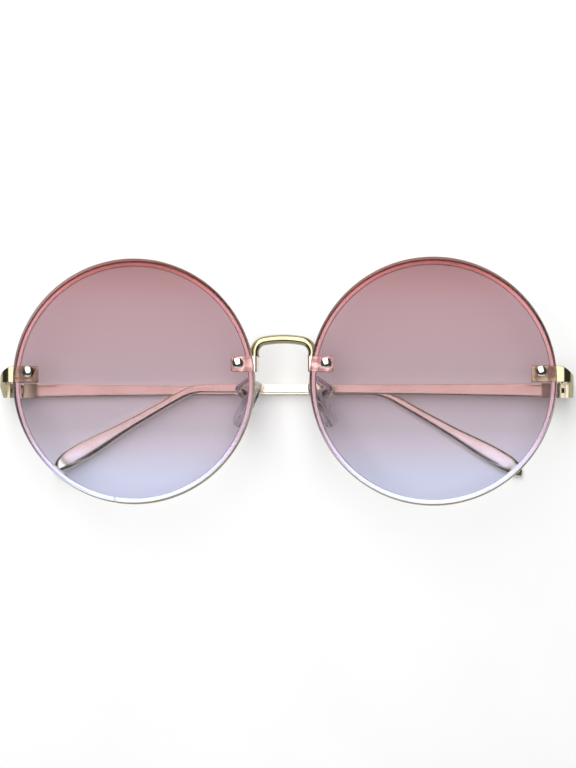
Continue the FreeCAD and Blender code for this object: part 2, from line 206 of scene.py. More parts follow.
def revolved(profile: Array, count: int) -> Array:
    """Turn a profile of (radius, along) about the third axis.

    Returns:
        Rings of shape (profile points, count, 3): radius times the circle, then along.
    """
    spin = circle(count)
    flat = profile[:, 0, None, None] * spin
    along = np.broadcast_to(profile[:, 1, None, None], (*flat.shape[:2], 1))
    return np.concatenate([flat, along], axis=-1)


def swept(profile: Array, path: Array, side: Array, up: Array) -> Array:
    """Carry a profile along a path.

    A point is the path's point, plus the profile's first number times side and its second times up.

    Args:
        profile: Points of shape (k, 2), or (n, k, 2) where it changes along the path.
        path: Points of shape (n, 3).
        side: Unit vectors of shape (n, 3) or (3,).
        up: Unit vectors of shape (n, 3) or (3,).

    Returns:
        Rings of shape (n, k, 3).
    """
    side = np.broadcast_to(side, path.shape)
    up = np.broadcast_to(up, path.shape)
    return path[:, None] + profile[..., :1] * side[:, None] + profile[..., 1:] * up[:, None]


def tube(path: Array, radius: float, reference: Array, count: int, ease: float) -> Array:
    """A round wire along a path, with its ends eased over a small quarter circle.

    Side vectors are the tangents crossed with the reference, and up vectors complete the frame.

    Returns:
        Rings of shape (n, count, 3).
    """
    tangent = np.gradient(path, axis=0)
    tangent /= np.linalg.norm(tangent, axis=1, keepdims=True)
    steps = 4
    quarter = np.linspace(0, math.pi / 2, steps)
    start = path[0] + tangent[0] * ease * (1 - np.sin(quarter[::-1]))[:, None]
    end = path[-1] - tangent[-1] * ease * (1 - np.sin(quarter))[:, None]
    tangent = np.concatenate([
        np.repeat(tangent[:1], steps, 0), tangent[1:-1], np.repeat(tangent[-1:], steps, 0),
    ])
    path = np.concatenate([start, path[1:-1], end])
    shrink = ease * (1 - np.cos(quarter))
    plain = np.full(len(path) - 2 * steps, radius)
    radii = np.concatenate([radius - shrink[::-1], plain, radius - shrink])
    side = np.cross(tangent, reference)
    side /= np.linalg.norm(side, axis=1, keepdims=True)
    return swept(radii[:, None, None] * circle(count), path, side, np.cross(side, tangent))


def bent_path(points: Array, radius: float, steps: int = 8) -> Array:
    """Straight runs joined by tangent arcs of one radius.

    At each corner the arc starts one setback before it, radius times the tangent of half the turn, and
    its points are blended on the circle about the centre that lies along the corner's bisector.

    Returns:
        Points along the path, of shape (n, 3).
    """
    before, corner, after = points[:-2], points[1:-1], points[2:]
    arriving = (corner - before) / np.linalg.norm(corner - before, axis=1, keepdims=True)
    leaving = (after - corner) / np.linalg.norm(after - corner, axis=1, keepdims=True)
    half_turn = np.arccos(np.clip((arriving * leaving).sum(1), -1, 1)) / 2
    inward = leaving - arriving
    inward /= np.linalg.norm(inward, axis=1, keepdims=True)
    center = corner + inward * (radius / np.cos(half_turn))[:, None]
    along = (arriving + leaving) / (2 * np.cos(half_turn))[:, None]
    angle = np.linspace(-1, 1, steps + 1)[None, :, None] * half_turn[:, None, None]
    arcs = center[:, None] + radius * (np.sin(angle) * along[:, None] - np.cos(angle) * inward[:, None])
    return np.concatenate([points[:1], arcs.reshape(-1, 3), points[-1:]])


def smooth_table(places: Array, knots: Array, values: Array) -> Array:
    """Read a table between its knots along smooth cubic curves.

    Each stretch is the cubic Hermite blend of its two values and slopes; a knot's slope is that of the
    line between its neighbours.

    Returns:
        One value for each place.
    """
    slopes = np.gradient(values, knots)
    last = np.clip(np.searchsorted(knots, places, side="right") - 1, 0, len(knots) - 2)
    width = knots[last + 1] - knots[last]
    t = np.clip((places - knots[last]) / width, 0, 1)
    return (
        values[last] * (1 + 2 * t) * (1 - t) ** 2
        + values[last + 1] * t ** 2 * (3 - 2 * t)
        + width * (slopes[last] * t * (1 - t) ** 2 - slopes[last + 1] * t ** 2 * (1 - t))
    )


def linear(code: str) -> tuple[float, float, float, float]:
    """Turn an sRGB hex code into a linear colour."""
    channels = np.array([int(code[i:i + 2], 16) for i in (0, 2, 4)]) / 255
    low, high = channels / 12.92, ((channels + 0.055) / 1.055) ** 2.4
    red, green, blue = np.where(channels <= 0.04045, low, high)
    return float(red), float(green), float(blue), 1.0


def add_node(tree: Tree, kind: str, inputs: dict | None = None, **settings: object) -> bpy.types.Node:
    """Add a node with its settings, values and links.

    Args:
        tree: The node tree that gets the node.
        kind: The node's type, without the ShaderNode in front.
        inputs: For each input's name or number, a socket to link from or a plain value.
        settings: The node's own properties.

    Returns:
        The new node.
    """
    node = tree.nodes.new("ShaderNode" + kind)
    for name, value in settings.items():
        setattr(node, name, value)
    for key, value in (inputs or {}).items():
        if isinstance(value, Socket):
            tree.links.new(value, node.inputs[key])
        else:
            node.inputs[key].default_value = value
    return node


def color_ramp(tree: Tree, factor: Socket, stops: tuple[tuple[float, str], ...]) -> Socket:
    """A colour ramp through sRGB stops.

    Args:
        tree: The node tree that gets the ramp.
        factor: What the ramp reads, from 0 to 1.
        stops: Places on the ramp with their hex colours, in order.

    Returns:
        The ramp's colour.
    """
    node = add_node(tree, "ValToRGB", {"Fac": factor})
    elements = node.color_ramp.elements
    for _ in stops[2:]:
        elements.new(1.0)
    for element, (place, code) in zip(elements, stops):
        element.position = place
        element.color = linear(code)
    return node.outputs["Color"]


def start_material(name: str) -> tuple[bpy.types.Material, Tree, bpy.types.Node, Socket]:
    """Make a node material.

    Args:
        name: The material's name.

    Returns:
        The material, its node tree, its Principled shader and its Object coordinates.
    """
    material = bpy.data.materials.new(name)
    material.use_nodes = True
    tree = material.node_tree
    place = add_node(tree, "TexCoord").outputs["Object"]
    return material, tree, tree.nodes["Principled BSDF"], place


@dataclass(frozen=True)
class PolishedMetal:
    """A plated wire or strip, buffed on a cloth wheel: mirror-like, with a faint haze and hair lines.

    Attributes:
        name: The material's name.
        bright: The plate's colour where it is thick.
        thin: Its colour in slightly thinner patches.
        roughness: The least and the most roughness of the haze.
        patch_mm: The size of the thicker and thinner patches.
        haze_mm: The size of the buffing haze.
        line_mm: The spacing of the buffing lines, drawn coarser than real so that they show.
        line_depth_mm: How deep the buffing lines are drawn.
        wall: The plate's colour on a marked outer wall, where it differs: painted shade, darker than the
            painted-light face.
    """

    name: str
    bright: str
    thin: str
    roughness: Pair
    patch_mm: float = 6.0
    haze_mm: float = 1.3
    line_mm: float = 0.22
    line_depth_mm: float = 0.00012
    wall: str = ""

    def material(self) -> bpy.types.Material:
        """Build the finish: patchy colour, hazy gloss and fine lines, all from noise."""
        material, tree, shader, place = start_material(self.name)
        patches, haze, lines = (
            add_node(tree, "TexNoise", {
                "Vector": place, "Scale": PER_METRE_MM / size, "Detail": detail,
            }).outputs["Fac"]
            for size, detail in ((self.patch_mm, 3.0), (self.haze_mm, 4.0), (self.line_mm, 2.0))
        )
        ramp = color_ramp(tree, patches, tuple(zip(PATCH_SPAN, (self.thin, self.bright))))
        gloss = add_node(tree, "MapRange", {
            "Value": haze, "From Min": NOISE_SPAN[0], "From Max": NOISE_SPAN[1],
            "To Min": self.roughness[0], "To Max": self.roughness[1],
        })
        bump = add_node(tree, "Bump", {
            "Height": lines, "Distance": self.line_depth_mm * MM, "Strength": 1.0,
        })
        # Painted light and shade: the marked outer wall takes the darker colour, and the rest keeps the
        # lighter one.
        if self.wall:
            mark = add_node(tree, "Attribute", attribute_name=OUTER_WALL).outputs["Fac"]
            # A colour mix has its factor at input 0, its colours at 6 and 7, and its result at output 2.
            mix = add_node(tree, "Mix", {0: mark, 6: ramp, 7: linear(self.wall)}, data_type="RGBA")
            ramp = mix.outputs[2]
        tree.links.new(ramp, shader.inputs["Base Color"])
        tree.links.new(gloss.outputs["Result"], shader.inputs["Roughness"])
        tree.links.new(bump.outputs["Normal"], shader.inputs["Normal"])
        shader.inputs["Metallic"].default_value = 1.0
        return material


@dataclass(frozen=True)
class GradientLens:
    """Dip-tinted polycarbonate: glossy and flat, deep rose at the top that fades to pale blue below.

    The edge is ground, so it is matt and lighter than the polished faces.

    Attributes:
        name: The material's name.
        stops: The dye's colour at heights above the lens centre, in millimetres, from the bottom up.
        roughness: The least and the most roughness, clean and lightly smudged.
        edge_roughness: What the grinding adds to the edge's roughness.
        smudge_mm: The size of the smudges.
        ior: The plastic's index of refraction.
        coating: What the anti-reflection coating leaves of the surface gloss, as a grey.
    """

    name: str
    stops: tuple[tuple[float, str], ...]
    roughness: Pair = (0.0, 0.025)
    edge_roughness: float = 0.6
    smudge_mm: float = 9.0
    ior: float = 1.5
    coating: str = "4A4A4E"

    def material(self, stance: Stance) -> bpy.types.Material:
        """Build the finish; the dye's height is read along the front's own upright axis.

        Args:
            stance: How the front is laid, for the direction of the dye.

        Returns:
            The material.
        """
        material, tree, shader, place = start_material(self.name)
        centered = add_node(tree, "Mapping", {
            "Vector": place,
            "Location": (stance.axes.T @ -stance.offset * MM).tolist(),
            "Rotation": Matrix(stance.axes.T.tolist()).to_euler(),
        })
        height = add_node(tree, "SeparateXYZ", {"Vector": centered.outputs["Vector"]}).outputs["Z"]
        low, high = self.stops[0][0], self.stops[-1][0]
        share = add_node(tree, "MapRange", {"Value": height, "From Min": low * MM, "From Max": high * MM})
        ramp = color_ramp(
            tree, share.outputs["Result"],
            tuple(((at - low) / (high - low), code) for at, code in self.stops),
        )
        smudge = add_node(tree, "TexNoise", {
            "Vector": place, "Scale": PER_METRE_MM / self.smudge_mm, "Detail": 5.0,
        })
        gloss = add_node(tree, "MapRange", {
            "Value": smudge.outputs["Fac"], "From Min": SMUDGE_SPAN[0], "From Max": SMUDGE_SPAN[1],
            "To Min": self.roughness[0], "To Max": self.roughness[1],
        })
        edge = add_node(tree, "Attribute", attribute_name=OUTER_WALL).outputs["Fac"]
        ground = add_node(tree, "Math", {
            0: edge, 1: self.edge_roughness, 2: gloss.outputs["Result"],
        }, operation="MULTIPLY_ADD")
        tree.links.new(ramp, shader.inputs["Base Color"])
        tree.links.new(ground.outputs["Value"], shader.inputs["Roughness"])
        shader.inputs["Transmission Weight"].default_value = 1.0
        shader.inputs["IOR"].default_value = self.ior
        shader.inputs["Specular Tint"].default_value = linear(self.coating)
        return material


@dataclass(frozen=True)
class ClearSilicone:
    """Moulded silicone: clear and soft, with a satin skin and a faint cloud inside.

    Attributes:
        name: The material's name.
        clear: The colour where it is clearest.
        cloud: The colour of the faint cloud.
        roughness: The least and the most roughness of the skin.
        cloud_mm: The size of the cloud's patches.
        ior: The index of refraction, lower than silicone's 1.41, at which the pads' lower ends turn darker.
    """

    name: str
    clear: str = "FBFBFD"
    cloud: str = "E9E8EE"
    roughness: Pair = (0.02, 0.08)
    cloud_mm: float = 3.0
    ior: float = 1.2

    def material(self) -> bpy.types.Material:
        """Build the finish: a clear body with a satin skin that varies in patches."""
        material, tree, shader, place = start_material(self.name)
        cloud = add_node(tree, "TexNoise", {
            "Vector": place, "Scale": PER_METRE_MM / self.cloud_mm, "Detail": 3.0,
        })
        ramp = color_ramp(tree, cloud.outputs["Fac"], tuple(zip(NOISE_SPAN, (self.clear, self.cloud))))
        gloss = add_node(tree, "MapRange", {
            "Value": cloud.outputs["Fac"], "From Min": NOISE_SPAN[0], "From Max": NOISE_SPAN[1],
            "To Min": self.roughness[0], "To Max": self.roughness[1],
        })
        tree.links.new(ramp, shader.inputs["Base Color"])
        tree.links.new(gloss.outputs["Result"], shader.inputs["Roughness"])
        shader.inputs["Transmission Weight"].default_value = 1.0
        shader.inputs["IOR"].default_value = self.ior
        shader.inputs["Coat Weight"].default_value = 1.0
        return material


class Finish(Enum):
    """The finishes that the pieces are dressed in."""

    GOLD = "polished_pale_gold"
    LIGHTER_GOLD = "polished_champagne_gold"
    RIM = "rim_plate_painted_light_and_shade"
    SATIN = "satin_pale_gold"
    HINGE = "tumbled_pale_gold"
    STEEL = "satin_steel"
    NICKEL = "bright_nickel"
    LENS = "gradient_polycarbonate"
    SILICONE = "clear_silicone"


@dataclass(frozen=True)
class Layout:
    """Sizes that several sub-assemblies share, in millimetres.

    Attributes:
        lens_radius: The lens's radius.
        lens_rise: How far the lens sits above the middle, and the rim below it.
        lens_center_x: How far a lens centre is from the middle of the nose gap.
        lens_thickness: The lens's thickness; its back is at y = 0.
        rim_radius: The rim's outer radius.
        rim_width: The rim's width in the plane of the lens.
        rim_depth: The rim's depth behind the lens.
        strip_x: Where the side leg's and the open temple's inner face lie.
        strip_thickness: The thickness of the side leg and the temple.
        pivot: The left hinge's axis, at the height of the temple's middle.
        stop_gap: The gap between the side leg and the open temple.
    """

    lens_radius: float = 32.2
    lens_rise: float = 0.25
    lens_center_x: float = 39.5
    lens_thickness: float = 1.8
    rim_radius: float = 32.3
    rim_width: float = 1.7
    rim_depth: float = 2.0
    strip_x: float = 74.85
    strip_thickness: float = 1.3
    pivot: Triple = (72.95, 10.6, -2.4)
    stop_gap: float = 0.15


LAYOUT = Layout()


@dataclass
class Bench:
    """Where shells become dressed objects.

    Attributes:
        stance: How the front is laid on the floor.
        materials: The material of each finish.
    """

    stance: Stance
    materials: dict[Finish, bpy.types.Material]

    def piece(
        self, name: str, node: str, shell: Shell, finish: Finish, slot: Slot,
        side: Side | None = None, body: str = "front",
    ) -> bpy.types.Object:
        """Make one piece, in place of its CAD node.

        Args:
            name: The piece's name, without its side.
            node: The CAD node that it stands for, likewise.
            shell: Its shape on the wearer's left, in the front frame.
            finish: What it is dressed in.
            slot: The record's material slot; not used.
            side: The side that it is made for, or None for a single piece.
            body: The body that it moves with.

        Returns:
            The finished object.
        """
        if side:
            name, node = f"{side.word}_{name}", f"{side.word}_{node}"
        points = np.concatenate(shell.points) * (side.value if side else 1, 1, 1)
        mesh = bpy.data.meshes.new(name)
        mesh.from_pydata(self.stance.to_row(points).tolist(), [], shell.faces)
        shape = bmesh.new()
        shape.from_mesh(mesh)
        bmesh.ops.remove_doubles(shape, verts=shape.verts, dist=MERGE_M)
        bmesh.ops.dissolve_degenerate(shape, edges=shape.edges, dist=MERGE_M)
        bmesh.ops.recalc_face_normals(shape, faces=shape.faces)
        shape.to_mesh(mesh)
        shape.free()
        mesh.shade_smooth()
        mesh.set_sharp_from_angle(angle=SHARP_ANGLE)
        mesh.materials.append(self.materials[finish])
        piece = bpy.data.objects.new(name, mesh)
        bpy.context.collection.objects.link(piece)
        piece.modifiers.new("flat_faces", "WEIGHTED_NORMAL").keep_sharp = True
        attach(piece, body)
        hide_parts(node)
        log.info("%s: %d faces", name, len(mesh.polygons))
        return piece

    def mark_wall(self, piece: bpy.types.Object, side: Side, height: float, radius: float) -> None:
        """Mark the outer wall of a round piece on an attribute that its finish reads.

        Args:
            piece: The round piece.
            side: The side that it was made for.
            height: The height of its middle above the lens centres.
            radius: How far from its middle the wall starts.
        """
        mesh = piece.data
        places = np.empty(3 * len(mesh.vertices))
        mesh.vertices.foreach_get("co", places)
        middle = self.stance.to_row(np.array([side.value * LAYOUT.lens_center_x, 0, height]))
        reach = np.linalg.norm((places.reshape(-1, 3) - middle)[:, :2], axis=1)
        wall = reach > (radius + WALL_MM) * MM
        mesh.attributes.new(OUTER_WALL, "FLOAT", "POINT").data.foreach_set("value", wall.astype(float))

    def dress_node(self, node: str, finish: Finish) -> None:
        """Give a CAD node that keeps its own shape a finish."""
        mesh = frame["nodes"][node].data
        mesh.materials.clear()
        mesh.materials.append(self.materials[finish])
        log.info("%s: CAD shape kept", node)


def facing_front(rings: Array, x: float, z: float) -> Array:
    """Stand turned rings up, so that their axis runs back along y through (x, z)."""
    return np.stack([x + rings[..., 0], rings[..., 2], z + rings[..., 1]], axis=-1)


def corner_rail(start: Pair, corner: Pair, end: Pair, radius: float, first: Array, second: Array) -> Array:
    """A flat line with one rounded square corner.

    The first run goes to one radius before the corner, then a quarter circle, then the second run.

    Args:
        start: Where the line starts, in x and y.
        corner: Where its two runs would meet.
        end: Where it ends.
        radius: The corner's radius.
        first: Shares of the first run at which it has points.
        second: Shares of the second run, likewise.

    Returns:
        Points of shape (n, 2).
    """
    start, corner, end = np.array(start), np.array(corner), np.array(end)
    arriving = (corner - start) / np.linalg.norm(corner - start)
    leaving = (end - corner) / np.linalg.norm(end - corner)
    before, after = corner - radius * arriving, corner + radius * leaving
    turn = np.linspace(0, math.pi / 2, 9)[1:-1, None]
    arc = before + radius * leaving + radius * (np.sin(turn) * arriving - np.cos(turn) * leaving)
    return np.concatenate([
        start + (before - start) * first[:, None], arc, after + (end - after) * second[:, None],
    ])


def strip(outer: Array, inner: Array, low: Array, high: Array, edge_round: float) -> Shell:
    """A bent metal strip between an outer and an inner line.

    Each ring is a rounded rectangle, as wide as the lines are apart and from low to high along z.

    Args:
        outer: Points of the outer line, in x and y.
        inner: Points of the inner line, paired with the outer ones.
        low: The strip's bottom at each point.
        high: The strip's top at each point.
        edge_round: The radius of its long edges.

    Returns:
        The closed strip.
    """
    across = inner - outer
    width = np.linalg.norm(across, axis=1)
    side = np.column_stack([across / width[:, None], np.zeros(len(width))])
    middle = np.column_stack([(outer + inner) / 2, (low + high) / 2])
    profile = rounded_rectangle(width / 2, (high - low) / 2, np.full(len(width), edge_round))
    return Shell.of(swept(profile, middle, side, UP), capped=True)


def end_inset(distance: Array, radius: float) -> Array:
    """How far a rounded corner draws a side in, at a distance from the end: a quarter circle."""
    return radius - np.sqrt(radius ** 2 - np.clip(radius - distance, 0, radius) ** 2)


@dataclass
class Lens:
    """A flat round lens with an eased edge.

    Attributes:
        front_ease: The radius of the front edge.
        back_ease: The radius of the back edge.
        margin: How far the flat faces' last ring lies inside the edge.
        segments: Points round the edge.
    """

    front_ease: float = 0.32
    back_ease: float = 0.12
    margin: float = 0.5
    segments: int = 360

    def shell(self) -> Shell:
        """Turn the edge's profile, two flats joined by two quarter circles, about the lens's axis."""
        radius, front = LAYOUT.lens_radius, -LAYOUT.lens_thickness
        turn = np.linspace(0, math.pi / 2, 6)
        front_edge = np.column_stack([
            radius - self.front_ease * (1 - np.sin(turn)), front + self.front_ease * (1 - np.cos(turn)),
        ])
        back_edge = np.column_stack([
            radius - self.back_ease * (1 - np.cos(turn)), -self.back_ease * (1 - np.sin(turn)),
        ])
        profile = np.concatenate([
            [(0, front), (radius / 2, front), (radius - self.margin, front)],
            front_edge, back_edge,
            [(radius - self.margin, 0), (radius / 2, 0), (0, 0)],
        ])
        rings = revolved(profile, self.segments)
        return Shell.of(facing_front(rings, LAYOUT.lens_center_x, LAYOUT.lens_rise))

    def build(self, bench: Bench, side: Side) -> None:
        """Make one side's lens; lamplight goes through it to the table as through clear air."""
        disc = bench.piece("lens_disc", "lens", self.shell(), Finish.LENS, Slot.LENS, side)
        bench.mark_wall(disc, side, LAYOUT.lens_rise, LAYOUT.lens_radius - self.front_ease)
        disc.visible_shadow = False
        disc.visible_diffuse = False


@dataclass
class Rim:
    """The round wire rim behind a lens.

    Attributes:
        inner_round: The radius of the wire's two corners on the lens centre's side.
        outer_round: The radius of its two outer corners.
        front_gap: How far the wire stays behind the lens, under the tabs' faces.
        seam_angle: Where the closed seam lies on the right rim, in degrees from the temple side.
        seam_width: The seam's width.
        seam_depth: The seam's depth.
        seam_rings: Where the seam has rings, in half widths from its middle.
        corner_steps: Steps in each of the wire's corners.
        segments: Rings round the rim.
    """

    inner_round: float = 0.3
    outer_round: float = 0.75
    front_gap: float = 0.03
    seam_angle: float = -81.0
    seam_width: float = 0.5
    seam_depth: float = 0.45
    seam_rings: tuple[float, ...] = (-1.2, -1.0, 0.0, 1.0, 1.2)
    corner_steps: int = 6
    segments: int = 420

    def shell(self, seam: bool) -> Shell:
        """Carry the wire's rounded section round the rim, and pinch it to a vee at the seam.

        Args:
            seam: Whether this rim shows its seam.

        Returns:
            The closed ring.
        """
        angles = np.linspace(0, 2 * math.pi, self.segments, endpoint=False)
        middle_radius = LAYOUT.rim_radius - LAYOUT.rim_width / 2
        pinch = np.zeros(self.segments)
        if seam:
            half = self.seam_width / 2 / middle_radius
            at = math.radians(self.seam_angle) % (2 * math.pi)
            angles = np.sort(np.concatenate([angles, at + half * np.array(self.seam_rings)]))
            pinch = self.seam_depth * np.clip(1 - np.abs(angles - at) / half, 0, 1)
        depth = LAYOUT.rim_depth - self.front_gap
        halves = LAYOUT.rim_width / 2 - pinch / 2, depth / 2 - pinch
        inner, outer = (
            rounded_rectangle(*halves, corner - pinch / 2, self.corner_steps)
            for corner in (self.inner_round, self.outer_round)
        )
        profile = np.where(inner[..., :1] > 0, outer, inner)
        out = np.stack([np.cos(angles), np.zeros(len(angles)), np.sin(angles)], axis=-1)
        path = middle_radius * out
        path += (LAYOUT.lens_center_x, self.front_gap + depth / 2, -LAYOUT.lens_rise)
        return Shell.of(swept(profile, path, out, BACK), closed=True)

    def build(self, bench: Bench, side: Side) -> None:
        """Make one side's rim; an attribute marks its outer wall, from the front flat's edge outwards, where
        the finish paints shade in the darker gold.
        """
        shell = self.shell(side is Side.RIGHT)
        wire = bench.piece("rim_wire", "rim", shell, Finish.RIM, Slot.GOLD, side)
        bench.mark_wall(wire, side, -LAYOUT.lens_rise, LAYOUT.rim_radius - self.outer_round)


@dataclass
class Bridge:
    """The arched wire over the nose.

    Attributes:
        wire_radius: The wire's radius.
        back_y: How far its middle is behind the lens seat.
        crown_z: The height of its middle at the crown.
        crown_radius: The radius of the crown's arc.
        shoulder_radius: The radius of the two shoulders.
        leg_x: Where its legs stand.
        foot_z: Where its legs end, inside the lugs' solder.
        solder_z: The height of the lugs' top edge.
        solder_flare: How far the solder spreads round a foot.
        solder_reach: How far the solder climbs up a leg.
        steps: Points along a leg, a shoulder and half the crown.
        round_steps: Points round the wire.
    """

    wire_radius: float = 1.2
    back_y: float = 3.25
    crown_z: float = 11.2
    crown_radius: float = 27.6
    shoulder_radius: float = 3.2
    leg_x: float = 7.7
    foot_z: float = 6.4
    solder_z: float = 6.7
    solder_flare: float = 0.16
    solder_reach: float = 0.7
    steps: tuple[int, int, int] = (10, 14, 26)
    round_steps: int = 40

    def path(self) -> Array:
        """The wire's middle: two legs, two shoulder arcs and the crown's arc, each tangent to the next."""
        center_z = self.crown_z - self.crown_radius
        shoulder_x = self.leg_x - self.shoulder_radius
        reach = self.crown_radius - self.shoulder_radius
        shoulder_z = center_z + math.sqrt(reach ** 2 - shoulder_x ** 2)
        join = math.atan2(shoulder_z - center_z, shoulder_x)
        leg_steps, bend_steps, crown_steps = self.steps
        leg_z = np.linspace(self.foot_z, shoulder_z, leg_steps)[:-1]
        bend = np.linspace(0, join, bend_steps)[:-1]
        crown = np.linspace(join, math.pi / 2, crown_steps)
        x = np.concatenate([
            np.full(len(leg_z), self.leg_x), shoulder_x + self.shoulder_radius * np.cos(bend),
            self.crown_radius * np.cos(crown),
        ])
        z = np.concatenate([
            leg_z, shoulder_z + self.shoulder_radius * np.sin(bend),
            center_z + self.crown_radius * np.sin(crown),
        ])
        half = np.column_stack([x, np.full(len(x), self.back_y), z])
        return np.concatenate([half, (half * (-1, 1, 1))[-2::-1]])

    def build(self, bench: Bench) -> None:
        """Make the bridge, its legs flared by the solder at their feet."""
        path = self.path()
        tangent = np.gradient(path, axis=0)
        side = np.cross(tangent, BACK)
        side /= np.linalg.norm(side, axis=1, keepdims=True)
        climb = np.clip((path[:, 2] - self.solder_z) / self.solder_reach, 0, 1)
        radius = self.wire_radius + self.solder_flare * (1 - climb) ** 2
        rings = swept(radius[:, None, None] * circle(self.round_steps), path, side, BACK)
        bench.piece("bridge_wire", "bridge", Shell.of(rings, capped=True), Finish.GOLD, Slot.GOLD)


@dataclass
class NasalLug:
    """The small tab behind the lens at the nose, bent back round the rim.

    Attributes:
        inner_x: Where the tab ends behind the lens.
        nose_x: Where its bent leg's outer face lies.
        thickness: The strip's thickness.
        depth: How far back the leg reaches.
        bottom: The strip's bottom edge.
        top: Its top edge.
        bend_round: The radius of the bend's outside.
        inner_bend: The radius of the bend's inside.
        corner_round: The radius of the tab's corners.
        edge_round: The radius of its long edges.
    """

    inner_x: float = 13.55
    nose_x: float = 6.65
    thickness: float = 0.85
    depth: float = 4.6
    bottom: float = 2.45
    top: float = 6.7
    bend_round: float = 0.75
    inner_bend: float = 0.12
    corner_round: float = 0.7
    edge_round: float = 0.18

    def shell(self) -> Shell:
        """A strip along two lines with one bend, its ends drawn in by their rounded corners."""
        # Rings crowd towards the rounded ends.
        first = np.concatenate([np.linspace(0, 0.12, 9)[:-1], np.linspace(0.12, 1, 8)])
        second = np.concatenate([np.linspace(0, 0.88, 8), np.linspace(0.9, 1, 5)])
        outer = corner_rail(
            (self.inner_x, 0), (self.nose_x, 0), (self.nose_x, self.depth), self.bend_round, first, second,
        )
        inner_x = self.nose_x + self.thickness
        inner = corner_rail(
            (self.inner_x, self.thickness), (inner_x, self.thickness), (inner_x, self.depth),
            self.inner_bend, first, second,
        )
        inset = end_inset(self.inner_x - outer[:, 0], self.corner_round)
        inset = inset + end_inset(self.depth - outer[:, 1], self.corner_round / 2)
        return strip(outer, inner, self.bottom + inset, self.top - inset, self.edge_round)

    def build(self, bench: Bench, side: Side) -> None:
        """Make one side's lug."""
        # The lug wears the lighter copy of the gold, painted light where it shows through the lens.
        bench.piece("nasal_strip", "nasal_lug", self.shell(), Finish.LIGHTER_GOLD, Slot.GOLD, side)


@dataclass
class EndPiece:
    """The tab behind the lens at the temple, its rounded corner and the side leg to the hinge.

    Attributes:
        inner_x: Where the tab ends behind the lens.
        thickness: The tab's thickness.
        outer_x: The side leg's outer face.
        corner: The radius of the outside corner.
        inner_corner: The radius of the inside corner.
        tab_bottom: The tab's bottom edge.
        tab_top: Its top edge.
        leg_bottom: The leg's bottom edge at the hinge.
        leg_top: Its top edge.
        shoulder_x: Where the top edge starts to round down to the leg's.
        shoulder_power: How suddenly it rounds down.
        slope_start: Where the leg's lower front starts to slope down.
        slope_end: Where the slope ends.
        tab_round: The radius of the tab's corners.
        edge_round: The radius of its long edges.
    """

    inner_x: float = 65.1
    thickness: float = 0.95
    outer_x: float = 76.15
    corner: float = 3.2
    inner_corner: float = 2.0
    tab_bottom: float = -0.3
    tab_top: float = 4.1
    leg_bottom: float = -4.325
    leg_top: float = 1.4
    shoulder_x: float = 71.5
    shoulder_power: float = 2.5
    slope_start: float = 1.2
    slope_end: float = 6.5
    tab_round: float = 0.4
    edge_round: float = 0.22

    def shell(self) -> Shell:
        """A strip along two lines with one corner; its edges ease from the tab's to the leg's."""
        end_y = LAYOUT.pivot[1] - LAYOUT.stop_gap / 2
        # Rings crowd towards the tab's rounded end, and follow the leg's slope closely.
        first = np.concatenate([np.linspace(0, 0.06, 7)[:-1], np.linspace(0.06, 1, 10)])
        second = np.linspace(0, 1, 40)
        outer = corner_rail(
            (self.inner_x, 0), (self.outer_x, 0), (self.outer_x, end_y), self.corner, first, second,
        )
        inner = corner_rail(
            (self.inner_x, self.thickness), (LAYOUT.strip_x, self.thickness), (LAYOUT.strip_x, end_y),
            self.inner_corner, first, second,
        )
        run = (outer[:, 1] + inner[:, 1]) / 2
        down = np.clip((run - self.slope_start) / (self.slope_end - self.slope_start), 0, 1)
        inset = end_inset(outer[:, 0] - self.inner_x, self.tab_round)
        low = self.tab_bottom + (self.leg_bottom - self.tab_bottom) * down + inset
        over = np.clip((outer[:, 0] - self.shoulder_x) / (self.outer_x - self.shoulder_x), 0, 1)
        high = self.tab_top + (self.leg_top - self.tab_top) * over ** self.shoulder_power - inset
        return strip(outer, inner, low, high, self.edge_round)

    def build(self, bench: Bench, side: Side) -> None:
        """Make one side's end piece."""
        bench.piece("end_strip", "end_piece", self.shell(), Finish.GOLD, Slot.GOLD, side)


@dataclass
class Rivet:
    """A dome-head rivet through a lens and the tab behind it.

    Attributes:
        place: Which rivet it is, as its node writes it.
        x: Where it stands, from the middle of the nose gap.
        z: Its height above the lens centres.
        tab: The thickness of the tab behind the lens.
        head_radius: The head's radius.
        head_height: The head's height.
        shank_radius: The shank's radius.
        tail_radius: The upset tail's radius.
        tail_height: The upset tail's height.
        steps: Points along the head's arc and the tail's rim, and round the rivet.
    """

    place: str
    x: float
    z: float
    tab: float
    head_radius: float = 1.35
    head_height: float = 0.42
    shank_radius: float = 0.6
    tail_radius: float = 0.95
    tail_height: float = 0.3
    steps: tuple[int, int, int] = (22, 7, 48)

    def shell(self) -> Shell:
        """Turn the rivet's profile: the head's circle arc, the shank, and a tail with a rounded rim."""
        face = -LAYOUT.lens_thickness
        head_steps, tail_steps, round_steps = self.steps
        dome = (self.head_radius ** 2 + self.head_height ** 2) / (2 * self.head_height)
        sweep = np.linspace(0, math.asin(self.head_radius / dome), head_steps)
        head = np.column_stack([dome * np.sin(sweep), face - self.head_height + dome * (1 - np.cos(sweep))])
        ease = self.tail_height / 2
        turn = np.linspace(0, math.pi, tail_steps)
        tail = np.column_stack([
            self.tail_radius - ease + ease * np.sin(turn), self.tab + ease - ease * np.cos(turn),
        ])
        profile = np.concatenate([
            head, [(self.shank_radius, face), (self.shank_radius, self.tab)],
            tail, [(0, self.tab + 2 * ease)],
        ])
        return Shell.of(facing_front(revolved(profile, round_steps), self.x, self.z))

    def build(self, bench: Bench, side: Side) -> None:
        """Make one side's rivet."""
        node = f"{self.place}_rivet"
        bench.piece(f"{node}_dome", node, self.shell(), Finish.NICKEL, Slot.STEEL, side)


